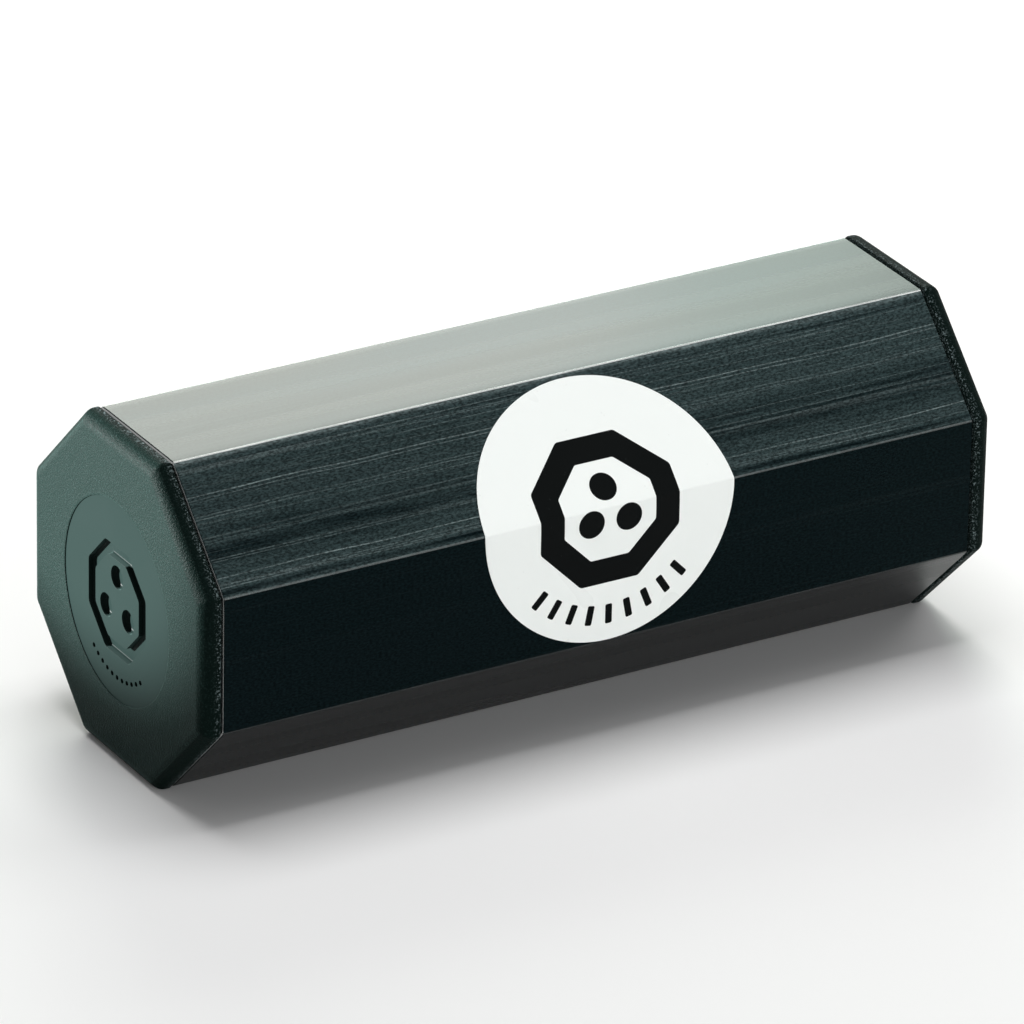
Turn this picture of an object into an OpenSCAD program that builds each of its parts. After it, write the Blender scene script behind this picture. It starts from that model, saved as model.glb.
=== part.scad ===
// Ganza shaker: an eight-sided aluminium tube, closed at both ends by moulded plastic caps,
// with a round label folded over one edge and loose steel shot inside.
// The tube lies along X on one flat of its caps. +Z is up, and the label faces -Y.

/* [Tube] */
// Width of the tube across its flats
tube_across_flats = 60; // [45:1:80]
// Length of the tube
tube_length = 146; // [110:1:220]
// Wall of the tube
tube_wall = 1.5; // [1:0.1:2.5]
// Radius of the tube's eight outer corners
tube_corner_radius = 0.6; // [0.3:0.1:1.5]
// Radius of the tube's eight inner corners
tube_bore_corner_radius = 0.5; // [0.2:0.1:1]
// Chamfer around the tube's sawn ends
tube_end_chamfer = 0.35; // [0.1:0.05:0.8]

/* [End caps] */
// Thickness of the cap's flange, outside the tube
flange_thickness = 3.5; // [3:0.1:6]
// How far the flange stands out past each flat of the tube
flange_overhang = 0.15; // [0.05:0.05:1]
// Radius around the flange's outer face
flange_edge_radius = 2.6; // [0.6:0.1:2.8]
// Radius of the flange's eight corners
flange_corner_radius = 1.2; // [0.4:0.1:4]
// Shadow gap between the flange and the tube
shadow_gap = 0.35; // [0.1:0.05:1]
// Wall of the end plate
end_plate_wall = 2.6; // [2:0.1:3.4]
// Depth of the plug inside the tube
plug_depth = 9; // [5:0.5:18]
// Wall of the plug
plug_wall = 2; // [1.2:0.1:3]
// Clearance between the plug and each wall of the tube
plug_clearance = 0.25; // [0.1:0.05:0.5]
// Lead-in chamfer at the plug's inner end
plug_lead_in = 0.8; // [0.3:0.1:1.1]
// Width of each crush rib on the plug
crush_rib_width = 1.2; // [0.6:0.1:2]
// Clearance left between a crush rib and the tube
crush_rib_clearance = 0.03; // [0.01:0.01:0.08]

/* [Cap face] */
// Radius of the smooth disc sunk into the cap's face
disc_radius = 18.2; // [17:0.1:19.5]
// Depth of the disc
disc_depth = 0.2; // [0.1:0.05:0.5]
// Depth of the ring and dots below the disc
motif_depth = 1.1; // [0.3:0.1:1.2]
// Width of the eight-sided ring across its outer flats
ring_across_flats = 20; // [18:0.5:23]
// Width of the ring's groove
ring_groove_width = 2.4; // [1:0.1:3]
// Diameter of the three dimples inside the ring
dimple_diameter = 4.2; // [2:0.1:4.8]
// Diameter of the small dots below the ring
dot_diameter = 0.9; // [0.5:0.1:1.2]
// Number of small dots
dot_count = 11; // [3:2:15]

/* [Label] */
// Distance left between the label and the two edges above and below its fold
label_edge_margin = 0.3; // [0.2:0.1:10]
// Thickness of the label
label_thickness = 0.12; // [0.08:0.01:0.3]
// Thickness of the glue under the label, left open here
label_glue_gap = 0.02; // [0.01:0.01:0.05]
// Distance of the label's middle from the middle of the tube
label_along = 0.85; // [-10:0.05:10]
// Distance of the label's middle below the edge that it folds over
label_drop = 0.35; // [-2:0.05:2]

/* [Shot] */
// Diameter of the steel shot
shot_diameter = 4; // [3:0.5:6]
// Clearance between the shot and the tube
shot_seat_clearance = 0.05; // [0.02:0.01:0.1]
// Clearance between neighbouring shot
shot_clearance = 0.1; // [0.05:0.01:0.2]
// Share of the clear length that the shot fills on the floor and the walls
floor_fill_share = 0.53; // [0.2:0.01:0.8]
// Share of the clear length that the second layer fills
second_fill_share = 0.4; // [0.15:0.01:0.6]
// Share of the clear length that the top layer fills
top_fill_share = 0.34; // [0.1:0.01:0.5]

/* [Hidden] */

sides = 8;
side_angle = 360 / sides;
half_side_angle = side_angle / 2;

// Segments in a corner's arc, in the flange's edge and in the label's outline
corner_segments = 6;
edge_segments = 10;
label_segments = 96;
round_segments = 48;

// The whole part stands on the flanges' lowest flats
flange_across_flats = tube_across_flats + 2 * flange_overhang;
axis_height = flange_across_flats / 2;
bore_across_flats = tube_across_flats - 2 * tube_wall;
tube_flat = tube_across_flats * tan(half_side_angle);
bore_flat = bore_across_flats * tan(half_side_angle);

// Places along a cap's own axis: 0 is the tube's end, and the outer face is at cap_face
cap_face = shadow_gap + flange_thickness;
cap_edge_radius = min(flange_edge_radius, flange_thickness);
plate_inner_face = cap_face - end_plate_wall;
plug_across_flats = bore_across_flats - 2 * plug_clearance;
plug_hollow_across_flats = plug_across_flats - 2 * plug_wall;
plug_flat = plug_across_flats * tan(half_side_angle);

// The raised land on the flange that meets the tube's end, narrower than the end's flat face
land_share = 0.6;
land_width = land_share * (tube_wall - tube_end_chamfer);
land_across_flats = bore_across_flats + 2 * land_width;

// Two crush ribs on each flat of the plug, at a share of the flat's width from its middle
rib_place_share = 0.28;
rib_root_share = 0.5;
rib_height = plug_clearance - crush_rib_clearance;
rib_root = rib_root_share * plug_wall;
rib_length = plug_depth - 2 * plug_lead_in;

// The three dimples' circle and the dots' arc, as shares of what they follow
dimple_count = 3;
dimple_circle_share = 0.58;
dimple_circle = dimple_circle_share * (ring_across_flats / 2 - ring_groove_width);
dot_arc_share = 0.78;
dot_arc_radius = dot_arc_share * disc_radius;
dot_arc_angle = 70;

// The label covers two flats of the tube, but for its margin
label_radius = tube_flat - abs(label_drop) - label_edge_margin;

// The shot lies in straight rows, each as wide as a ball, so that every row can slide past the next
shot_radius = shot_diameter / 2;
shot_seat = shot_radius + shot_seat_clearance;
shot_pitch = shot_diameter + shot_clearance;
floor_row_reach = bore_flat / 2 - shot_seat * tan(half_side_angle);
floor_row_count = floor(2 * floor_row_reach / shot_pitch) + 1;
floor_row_spacing = 2 * floor_row_reach / (floor_row_count - 1);
floor_row_height = axis_height - bore_across_flats / 2 + shot_seat;
layer_rise = sqrt(pow(shot_pitch, 2) - pow(floor_row_spacing / 2, 2));
wall_row_step = shot_pitch * cos(side_angle);
second_row_count = floor_row_count - 1;
top_row_count = floor_row_count - 2;

// Rows on the floor and walls stop at the plugs, and the layers above stop at the end plates
floor_clear_length = tube_length - 2 * plug_depth;
upper_clear_length = tube_length + 2 * plate_inner_face;
floor_row_shot = floor(floor_fill_share * floor_clear_length / shot_pitch);
second_row_shot = floor(second_fill_share * upper_clear_length / shot_pitch);
top_row_shot = floor(top_fill_share * upper_clear_length / shot_pitch);

// A cut runs this far past the face that it opens
overrun = 1;

floor_row_names = [for (i = [1 : floor_row_count]) str("floor_shot_row_", i)];
wall_row_names = ["wall_shot_row_1", "wall_shot_row_2"];
second_row_names = [for (i = [1 : second_row_count]) str("second_shot_row_", i)];
top_row_names = [for (i = [1 : top_row_count]) str("top_shot_row_", i)];

// Points of an arc
function arc_points(centre, radius, start, end, segments) = [
    for (i = [0 : segments])
        let (angle = start + (end - start) * i / segments)
        centre + radius * [cos(angle), sin(angle)]
];

// Outline of an octagon with round corners and with flats that face X and Y
function rounded_octagon(across_flats, radius) =
    let (reach = (across_flats / 2 - radius) / cos(half_side_angle))
    [
        for (k = [0 : sides - 1])
            let (
                flat_angle = k * side_angle,
                corner_angle = flat_angle + half_side_angle,
                centre = reach * [cos(corner_angle), sin(corner_angle)]
            )
            each arc_points(centre, radius, flat_angle, flat_angle + side_angle, corner_segments)
    ];

// Both sides of a profile, from the points [half width, height] of its right side, bottom to top
function both_sides(right_side) = concat(
    right_side,
    [for (i = [len(right_side) - 1 : -1 : 0]) [-right_side[i][0], right_side[i][1]]]
);

// Straight eight-sided prism along Z
module octagon_prism(across_flats, radius, low, high) {
    translate([0, 0, low])
        linear_extrude(height = high - low)
            polygon(rounded_octagon(across_flats, radius));
}

// Eight-sided block whose flats all follow one profile from bottom to top
module octagon_block(across_flats, radius, right_side) {
    low = right_side[0][1];
    high = right_side[len(right_side) - 1][1];
    intersection() {
        octagon_prism(across_flats, radius, low, high);
        intersection_for(k = [0 : sides / 2 - 1])
            rotate([0, 0, k * side_angle])
                rotate([90, 0, 0])
                    linear_extrude(height = 2 * across_flats, center = true)
                        polygon(both_sides(right_side));
    }
}

// Turns a shape that was built along Z so that it lies along X, on the part's axis
module along_the_tube() {
    translate([0, 0, axis_height])
        rotate([0, 90, 0])
            children();
}

module body_tube() {
    half_width = tube_across_flats / 2;
    half_length = tube_length / 2;
    color("#2c3638")
        along_the_tube()
            difference() {
                octagon_block(tube_across_flats, tube_corner_radius, [
                    [half_width - tube_end_chamfer, -half_length],
                    [half_width, -half_length + tube_end_chamfer],
                    [half_width, half_length - tube_end_chamfer],
                    [half_width - tube_end_chamfer, half_length]
                ]);
                octagon_prism(
                    bore_across_flats,
                    tube_bore_corner_radius,
                    -half_length - overrun,
                    half_length + overrun
                );
            }
}

// The flange outside the tube, with its round outer edge
module cap_flange() {
    half_width = flange_across_flats / 2;
    edge_centre = [half_width - cap_edge_radius, cap_face - cap_edge_radius];
    octagon_block(flange_across_flats, flange_corner_radius, concat(
        [[half_width, shadow_gap]],
        arc_points(edge_centre, cap_edge_radius, 0, 90, edge_segments)
    ));
}

// The plug inside the tube, with its lead-in and the land that meets the tube's end
module cap_plug() {
    half_width = plug_across_flats / 2;
    octagon_block(plug_across_flats, tube_bore_corner_radius, [
        [half_width - plug_lead_in, -plug_depth],
        [half_width, -plug_depth + plug_lead_in],
        [half_width, shadow_gap]
    ]);
    octagon_prism(land_across_flats, tube_bore_corner_radius, 0, shadow_gap);
    for (k = [0 : sides - 1])
        for (side = [-1, 1])
            rotate([0, 0, k * side_angle])
                translate([
                    half_width - rib_root,
                    side * rib_place_share * plug_flat - crush_rib_width / 2,
                    -plug_depth + plug_lead_in
                ])
                    cube([rib_root + rib_height, crush_rib_width, rib_length]);
}

// Ring, dimples and dots, seen from outside, with +Y up
module cap_motif_outline() {
    difference() {
        polygon(rounded_octagon(ring_across_flats, flange_corner_radius));
        polygon(rounded_octagon(ring_across_flats - 2 * ring_groove_width, flange_corner_radius / 2));
    }
    for (k = [0 : dimple_count - 1])
        rotate([0, 0, 90 + 360 * k / dimple_count])
            translate([dimple_circle, 0])
                circle(d = dimple_diameter, $fn = round_segments);
    for (i = [0 : dot_count - 1])
        rotate([0, 0, -90 + dot_arc_angle * (i / (dot_count - 1) - 1 / 2)])
            translate([dot_arc_radius, 0])
                circle(d = dot_diameter, $fn = round_segments);
}

// One cap along its own axis. Both caps come from the same mould.
module end_cap() {
    disc_floor = cap_face - disc_depth;
    difference() {
        union() {
            cap_flange();
            cap_plug();
        }
        octagon_prism(
            plug_hollow_across_flats,
            tube_bore_corner_radius,
            -plug_depth - overrun,
            plate_inner_face
        );
        translate([0, 0, disc_floor])
            cylinder(r = disc_radius, h = disc_depth + overrun, $fn = round_segments);
        translate([0, 0, disc_floor - motif_depth])
            linear_extrude(height = motif_depth + overrun)
                rotate([0, 0, -90])
                    cap_motif_outline();
    }
}

module left_end_cap() {
    color("#3c4a48")
        translate([-tube_length / 2, 0, axis_height])
            rotate([0, -90, 0])
                end_cap();
}

module right_end_cap() {
    color("#3c4a48")
        rotate([0, 0, 180])
            translate([-tube_length / 2, 0, axis_height])
                rotate([0, -90, 0])
                    end_cap();
}

// Round label, cut to a circle that is measured along the two flats that it folds over
module front_label() {
    inner_gap = label_glue_gap;
    outer_gap = label_glue_gap + label_thickness;
    cut_length = 2 * (label_radius + abs(label_along)) + tube_across_flats;
    color("#f4f6f2")
        intersection() {
            along_the_tube()
                linear_extrude(height = cut_length, center = true)
                    difference() {
                        polygon(rounded_octagon(
                            tube_across_flats + 2 * outer_gap,
                            tube_corner_radius + outer_gap
                        ));
                        polygon(rounded_octagon(
                            tube_across_flats + 2 * inner_gap,
                            tube_corner_radius + inner_gap
                        ));
                    }
            translate([label_along, 0, axis_height])
                rotate([90 - half_side_angle, 0, 0])
                    linear_extrude(height = tube_across_flats)
                        polygon([
                            for (i = [0 : label_segments - 1])
                                let (angle = 360 * i / label_segments)
                                [
                                    label_radius * cos(angle),
                                    (label_radius * sin(angle) - label_drop) * cos(half_side_angle)
                                ]
                        ]);
        }
}

// One row of shot along X, centred on the tube's middle
module shot_row(count, across, height) {
    row_start = -shot_pitch * (count - 1) / 2;
    color("#b9bcbe")
        for (i = [0 : count - 1])
            translate([row_start + shot_pitch * i, across, height])
                sphere(r = shot_radius, $fn = round_segments);
}

module floor_shot_row(index) {
    shot_row(floor_row_shot, floor_row_spacing * index - floor_row_reach, floor_row_height);
}

// The rows that lie on the sloping walls, one beyond each outer row on the floor
module wall_shot_row(side) {
    shot_row(
        floor_row_shot,
        side * (floor_row_reach + wall_row_step),
        floor_row_height + wall_row_step
    );
}

module second_shot_row(index) {
    shot_row(
        second_row_shot,
        floor_row_spacing * (index + 1 / 2) - floor_row_reach,
        floor_row_height + layer_rise
    );
}

module top_shot_row(index) {
    shot_row(
        top_row_shot,
        floor_row_spacing * (index + 1) - floor_row_reach,
        floor_row_height + 2 * layer_rise
    );
}

body_tube();
left_end_cap();
right_end_cap();
front_label();
for (i = [0 : floor_row_count - 1])
    floor_shot_row(i);
wall_shot_row(-1);  // wall_shot_row_1
wall_shot_row(1);  // wall_shot_row_2
for (i = [0 : second_row_count - 1])
    second_shot_row(i);
for (i = [0 : top_row_count - 1])
    top_shot_row(i);
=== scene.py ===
"""Ganza shaker: looks, stage and camera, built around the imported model.

The tube lies along X and the label faces -Y. Lengths are in metres. The tube, the two end caps
and the label are modelled here around their solids, and the shot keeps its own.
"""

import math
from contextlib import contextmanager

import bmesh
import bpy
from mathutils import Matrix, Vector


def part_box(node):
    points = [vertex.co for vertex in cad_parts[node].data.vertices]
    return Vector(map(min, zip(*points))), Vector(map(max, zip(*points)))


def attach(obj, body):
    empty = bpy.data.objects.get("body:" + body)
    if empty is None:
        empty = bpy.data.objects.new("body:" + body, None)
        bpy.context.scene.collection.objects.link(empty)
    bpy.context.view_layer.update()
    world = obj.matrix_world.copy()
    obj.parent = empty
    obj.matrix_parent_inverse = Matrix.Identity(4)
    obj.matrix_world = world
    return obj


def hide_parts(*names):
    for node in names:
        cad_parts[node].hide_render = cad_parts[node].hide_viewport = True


bl_info = {
    "name": "Ganza Shaker",
    "version": (1, 0, 0),
    "blender": (4, 5, 0),
    "location": "View3D > Sidebar > Shaker",
    "description": "Models an eight-sided shaker with its caps, label, shot and studio",
    "category": "Add Mesh",
}

MM = 0.001
SIDES = 8
SIDE_ANGLE = math.tau / SIDES
HALF_SIDE_ANGLE = SIDE_ANGLE / 2
BODY = "shaker_body"

# The marks in the cap's face and on the label: beads or dimples, dots over an arc, and bars that
# each turn on by a step
BEADS = 3
DOTS = 11
DOT_SPREAD = math.radians(70)
BARS = 9
BAR_STEP_DEGREES = 11

# Rounding of the marks' floors, of the moulding's fine edges and of the print's corners
GROOVE_ROUNDING = 0.35 * MM
DIMPLE_ROUNDING = 0.6 * MM
DOT_ROUNDING = 0.2 * MM
MOULD_EDGE = 0.06 * MM
RING_CORNER = 0.4 * MM
BAR_CORNER = 0.3 * MM

# The cap's land reaches over this share of the tube's wall inside its chamfer, and a crush rib
# stands this share of the plug's flat away from its middle
LAND_REACH = 0.6
RIB_PLACE = 0.28

# The sheen on the cap's face, and where the painted glints on the grain's tips around it start to
# fade and end, in millimetres past the tube's end
FACE_SHEEN = 0.2
GLINT_FROM = 0.6
GLINT_TO = 1.9

# Depth of the brush's lines, the moulding's grain, the label's peel and the steel's fine marks
BRUSH_DEPTH = 0.003 * MM
GRAIN_DEPTH = 0.13 * MM
PEEL_DEPTH = 0.002 * MM
POLISH_DEPTH = 0.004 * MM

# Second colours: the vinyl's shade, the dust on it and on the ink, the steel's film and the
# floor's cloud
VINYL_SHADE = (0.70, 0.72, 0.70)
VINYL_DUST = (0.4, 0.4, 0.4)
INK_DUST = (0.06, 0.07, 0.07)
STEEL_FILM = (0.40, 0.41, 0.42)
FLOOR_CLOUD = (0.8, 0.8, 0.8)

# How far outside the cap's face its cutters start
OVERRUN = 1 * MM

# Vertices this near to a plane or a corner lie on it, and a face that turns this much of its normal
# to X faces along the tube
NEAR_PLANE = 0.01 * MM
NEAR_CORNER = 0.2 * MM
FACING_END = 0.9

# Angles at which the label is cut across its fold, so that it bends round the tube's corner
FOLD_CUTS = range(-20, 21, 5)

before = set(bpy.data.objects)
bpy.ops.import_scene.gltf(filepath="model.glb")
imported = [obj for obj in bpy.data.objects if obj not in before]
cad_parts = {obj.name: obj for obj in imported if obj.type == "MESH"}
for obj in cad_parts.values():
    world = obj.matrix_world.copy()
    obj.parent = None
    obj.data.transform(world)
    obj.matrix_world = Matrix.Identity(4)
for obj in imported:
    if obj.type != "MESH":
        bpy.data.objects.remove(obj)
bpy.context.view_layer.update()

TUBE_LOW, TUBE_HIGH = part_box("body_tube")
CAP_LOW, CAP_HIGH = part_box("left_end_cap")
LABEL_LOW, LABEL_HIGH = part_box("front_label")
AXIS = Vector((0, 0, (TUBE_LOW.z + TUBE_HIGH.z) / 2))
TUBE_WIDTH = TUBE_HIGH.z - TUBE_LOW.z
TUBE_END = TUBE_HIGH.x
FLANGE_WIDTH = CAP_HIGH.z - CAP_LOW.z
LABEL_MIDDLE = (LABEL_LOW.x + LABEL_HIGH.x) / 2
LABEL_RADIUS = (LABEL_HIGH.x - LABEL_LOW.x) / 2
SHOT_NODES = [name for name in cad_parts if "_shot_row_" in name]

# The edge that the label folds over lies along this direction from the tube's axis
FOLD_DIRECTION = Vector((0, -math.cos(HALF_SIDE_ANGLE), math.sin(HALF_SIDE_ANGLE)))

# Turns a flat primitive so that it faces +X or -X with a flat at its top
FACING_RIGHT = (math.pi / 2, HALF_SIDE_ANGLE, math.pi / 2)
FACING_LEFT = (math.pi / 2, HALF_SIDE_ANGLE, -math.pi / 2)


def length(name, description, default):
    return bpy.props.FloatProperty(
        name=name, description=description, default=default, unit="LENGTH", precision=5
    )


def colour(name, description, default):
    return bpy.props.FloatVectorProperty(
        name=name, description=description, default=default, subtype="COLOR", min=0, max=1
    )


class ShakerSizes(bpy.types.PropertyGroup):
    """Sizes that the frame doesn't give"""

    tube_wall: length("Tube wall", "Wall of the aluminium tube", 1.5 * MM)
    corner_radius: length("Corner radius", "Radius of the tube's outer corners", 0.6 * MM)
    bore_radius: length("Bore radius", "Radius of the tube's inner corners", 0.5 * MM)
    end_chamfer: length("End chamfer", "Chamfer at the tube's sawn ends", 0.35 * MM)
    roll_off: length("Roll-off", "Strip beside each corner that polishing rounded off", 2.0 * MM)
    roll_off_depth: length("Roll-off depth", "How far the corners sink by that", 0.07 * MM)
    shadow_gap: length("Shadow gap", "Gap between the flange and the tube", 0.35 * MM)
    edge_radius: length("Edge radius", "Radius around the flange's outer face", 2.6 * MM)
    flange_corner: length("Flange corner", "Radius of the flange's eight corners", 1.2 * MM)
    lip_radius: length("Lip radius", "Radius of the flange's edge at the shadow gap", 0.25 * MM)
    plate_wall: length("Plate wall", "Wall of the cap's end plate", 2.6 * MM)
    plug_clearance: length("Plug clearance", "Gap between the plug and the tube", 0.25 * MM)
    plug_wall: length("Plug wall", "Wall of the plug", 2.0 * MM)
    plug_lead_in: length("Plug lead-in", "Chamfer at the plug's inner end", 0.8 * MM)
    rib_width: length("Rib width", "Width of a crush rib", 1.2 * MM)
    rib_height: length("Rib height", "Height of a crush rib", 0.22 * MM)
    disc_radius: length("Disc radius", "Radius of the smooth disc in the cap's face", 18.2 * MM)
    disc_depth: length("Disc depth", "Depth of the disc", 0.2 * MM)
    disc_slope: length("Disc slope", "Width of the slope around the disc", 0.3 * MM)
    disc_slope_depth: length("Disc slope depth", "Depth of that slope", 0.05 * MM)
    motif_depth: length("Motif depth", "Depth of the ring, dimples and dots", 1.1 * MM)
    ring_width: length("Ring width", "Width of the ring across its outer flats", 20 * MM)
    ring_groove: length("Ring groove", "Width of the ring's groove", 2.4 * MM)
    dimple_radius: length("Dimple radius", "Radius of the dimples", 2.1 * MM)
    dimple_circle: length("Dimple circle", "Radius of the dimples' circle", 4.4 * MM)
    dot_radius: length("Dot radius", "Radius of the small dots", 0.45 * MM)
    dot_arc: length("Dot arc", "Radius of the arc that the small dots lie on", 14.2 * MM)
    label_glue: length("Label glue", "Gap under the label", 0.02 * MM)
    label_film: length("Label film", "Thickness of the label's film", 0.1 * MM)
    label_drop: length("Label drop", "Distance of the label's middle below its fold", 0.35 * MM)
    ink_thickness: length("Ink thickness", "Thickness of the label's ink", 0.02 * MM)
    print_ring: length("Print ring", "Width of the printed ring across its flats", 27 * MM)
    print_stroke: length("Print stroke", "Width of the printed ring's stroke", 4.6 * MM)
    bead_radius: length("Bead radius", "Radius of the three printed beads", 2.5 * MM)
    bead_circle: length("Bead circle", "Radius of the beads' circle", 4.2 * MM)
    bar_length: length("Bar length", "Length of the printed bars by the label's rim", 3.6 * MM)
    bar_width: length("Bar width", "Width of the printed bars", 1.3 * MM)
    bar_circle: length("Bar circle", "Radius of the arc that the bars lie on", 19.4 * MM)


class ShakerColours(bpy.types.PropertyGroup):
    """Colours of the finishes"""

    anodised: colour("Anodised black", "Black anodised aluminium", (0.003, 0.007, 0.008))
    # Painted reflection: the warmer black in patches on the level flats
    warm_reflection: colour("Warm black", "The same where the dye took warmer", (0.0055, 0.0075, 0.0072))
    # Painted light: the lighter black of the two upper sloping flats, which makes them render
    # lighter than the rest
    lit_slope: colour("Brushed black", "The same on the brushed flats", (0.022, 0.035, 0.036))
    # Also the colour of the painted highlight bands beside the upper corners
    drawn: colour("Drawn lines", "Lighter lines along the tube", (0.115, 0.145, 0.145))
    # Also the painted highlight along the tube's upper corners
    bare_and_highlight: colour("Bare aluminium", "Aluminium where the black has worn away", (0.62, 0.63, 0.62))
    plastic: colour("Black plastic", "Moulded black plastic", (0.002, 0.006, 0.005))
    disc: colour("Disc", "The plastic's smooth disc", (0.0058, 0.0110, 0.0100))
    grain: colour("Grain peaks", "The plastic on the peaks of its grain", (0.018, 0.036, 0.033))
    # Painted glints: the bright colour of the grain's tips around the flange's sides
    rubbed_and_glint: colour("Rubbed grain", "The grain that hands have rubbed bright", (0.14, 0.18, 0.185))
    # The face's sheen, which the shaded copy on the flange's edge lacks
    sheen_tint: colour("Bloom", "Sheen of the grained plastic at a low angle", (0.62, 1.0, 0.93))
    vinyl: colour("White vinyl", "White film of the label", (0.90, 0.935, 0.912))
    ink: colour("Black ink", "Print on the label", (0.002, 0.003, 0.003))
    steel: colour("Steel", "Bright steel shot", (0.62, 0.63, 0.64))
    floor: colour("Floor", "Pale floor", (0.90, 0.90, 0.90))


# Selecting and shaping


def deselect_all():
    bpy.ops.object.select_all(action="DESELECT")


def make_active(obj):
    deselect_all()
    obj.select_set(True)
    bpy.context.view_layer.objects.active = obj


def select_all():
    """Selects all of the edited mesh"""
    bpy.ops.mesh.select_all(action="SELECT")


@contextmanager
def editing(obj, mode="FACE"):
    """Edit mode on one object, with everything in it selected"""
    make_active(obj)
    bpy.ops.object.mode_set(mode="EDIT")
    bpy.ops.mesh.select_mode(type=mode)
    select_all()
    yield
    bpy.ops.object.mode_set(mode="OBJECT")


def pick(kind, test):
    """Selects only the edited mesh's vertices, edges or faces that pass the test"""
    bpy.ops.mesh.select_mode(type={"verts": "VERT", "edges": "EDGE", "faces": "FACE"}[kind])
    bpy.ops.mesh.select_all(action="DESELECT")
    edited = bpy.context.edit_object.data
    mesh = bmesh.from_edit_mesh(edited)
    for element in getattr(mesh, kind):
        element.select = bool(test(element))
    mesh.select_flush_mode()
    bmesh.update_edit_mesh(edited)


def off_axis(point):
    """Distance of a point from the tube's axis"""
    return math.hypot(point.y - AXIS.y, point.z - AXIS.z)


def apply_place():
    bpy.ops.object.transform_apply(location=True, rotation=True, scale=True)


def widen(factor):
    """Scales the selection about the tube's axis, across X"""
    bpy.ops.transform.resize(value=(1, factor, factor), center_override=AXIS)


def extrude(offset):
    bpy.ops.mesh.extrude_region_move(TRANSFORM_OT_translate={"value": offset})


def extrude_edges(offset):
    bpy.ops.mesh.extrude_edges_move(TRANSFORM_OT_translate={"value": offset})


def round_edges(offset, segments):
    bpy.ops.mesh.bevel(offset=offset, offset_type="OFFSET", segments=segments, affect="EDGES")


def round_corners(offset, segments):
    bpy.ops.mesh.bevel(offset=offset, offset_type="OFFSET", segments=segments, affect="VERTICES")


def step_ring(offset_x, width_before, width_after):
    """Extrudes the selected ring or face along X and brings it to a new width"""
    extrude((offset_x, 0, 0))
    widen(width_after / width_before)


def sweep_arc(width, radius, segments, outward):
    """Extrudes the selected ring over a quarter circle, and returns its new width"""
    previous_x, previous_width = 0.0, width
    for i in range(1, segments + 1):
        angle = math.pi / 2 * i / segments
        if outward:
            along = radius * (1 - math.cos(angle))
            new_width = width + 2 * radius * math.sin(angle)
        else:
            along = radius * math.sin(angle)
            new_width = width - 2 * radius * (1 - math.cos(angle))
        step_ring(previous_x - along, previous_width, new_width)
        previous_x, previous_width = along, new_width
    return previous_width


def outward_normals():
    select_all()
    bpy.ops.mesh.normals_make_consistent(inside=False)


def apply_modifier(obj, kind, **settings):
    make_active(obj)
    bpy.ops.object.modifier_add(type=kind)
    modifier = obj.modifiers[-1]
    for name, value in settings.items():
        setattr(modifier, name, value)
    bpy.ops.object.modifier_apply(modifier=modifier.name)


def combine(obj, tool, operation):
    """Cuts, joins or intersects obj with another object, which is used up"""
    apply_modifier(obj, "BOOLEAN", operation=operation, object=tool, solver="EXACT")
    bpy.data.objects.remove(tool)


def join(pieces, name):
    deselect_all()
    for piece in pieces:
        piece.select_set(True)
    bpy.context.view_layer.objects.active = pieces[0]
    bpy.ops.object.join()
    pieces[0].name = name
    return pieces[0]


def smooth(obj, degrees=30):
    make_active(obj)
    bpy.ops.object.shade_smooth_by_angle(angle=math.radians(degrees))
    apply_modifier(obj, "WEIGHTED_NORMAL", keep_sharp=True, weight=50)


def corner_reach(width):
    """Distance from the axis to a sharp corner of an octagon that is this wide across its flats"""
    return width / 2 / math.cos(HALF_SIDE_ANGLE)


def add_octagon(name, width, x, facing=FACING_RIGHT, fill="NGON"):
    deselect_all()
    bpy.ops.mesh.primitive_circle_add(
        vertices=SIDES,
        radius=corner_reach(width),
        fill_type=fill,
        location=(x, AXIS.y, AXIS.z),
        rotation=facing,
    )
    apply_place()
    bpy.context.object.name = name
    return bpy.context.object


def along_x(edge):
    """True for an edge that runs along the tube"""
    start, end = (vert.co for vert in edge.verts)
    return abs(start.x - end.x) > abs((start - end).yz.length) * 100


def dress(obj, material, slot, *nodes):
    """Gives a finished piece its material and its body, and hides the nodes that it stands for"""
    obj.data.materials.clear()
    obj.data.materials.append(material)
    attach(obj, BODY)
    if nodes:
        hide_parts(*nodes)


# Shader nodes


def add_node(tree, kind, values=None, **settings):
    """Adds a shader node, sets its options, and fills or links its inputs"""
    node = tree.nodes.new(kind)
    for name, value in settings.items():
        setattr(node, name, value)
    for name, value in (values or {}).items():
        if isinstance(value, bpy.types.NodeSocket):
            tree.links.new(value, node.inputs[name])
        else:
            node.inputs[name].default_value = value
    return node


def math_node(tree, operation, first, second=0.0):
    return add_node(
        tree, "ShaderNodeMath", {0: first, 1: second}, operation=operation
    ).outputs[0]


def times(tree, first, second):
    return math_node(tree, "MULTIPLY", first, second)


def unsigned(tree, value):
    return math_node(tree, "ABSOLUTE", value)


def split_vector(tree, vector):
    return add_node(tree, "ShaderNodeSeparateXYZ", {0: vector}).outputs


def remap(tree, value, low, high, to_low=0.0, to_high=1.0):
    """Maps low to high onto to_low to to_high with soft ends"""
    node = add_node(
        tree,
        "ShaderNodeMapRange",
        {"Value": value, "From Min": low, "From Max": high, "To Min": to_low, "To Max": to_high},
        interpolation_type="SMOOTHSTEP",
    )
    return node.outputs["Result"]


def between(tree, mask, low, high):
    """Low where a mask is 0, and high where it is 1"""
    return remap(tree, mask, 0.0, 1.0, low, high)


def rgba(value):
    return (*value, 1.0)


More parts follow.
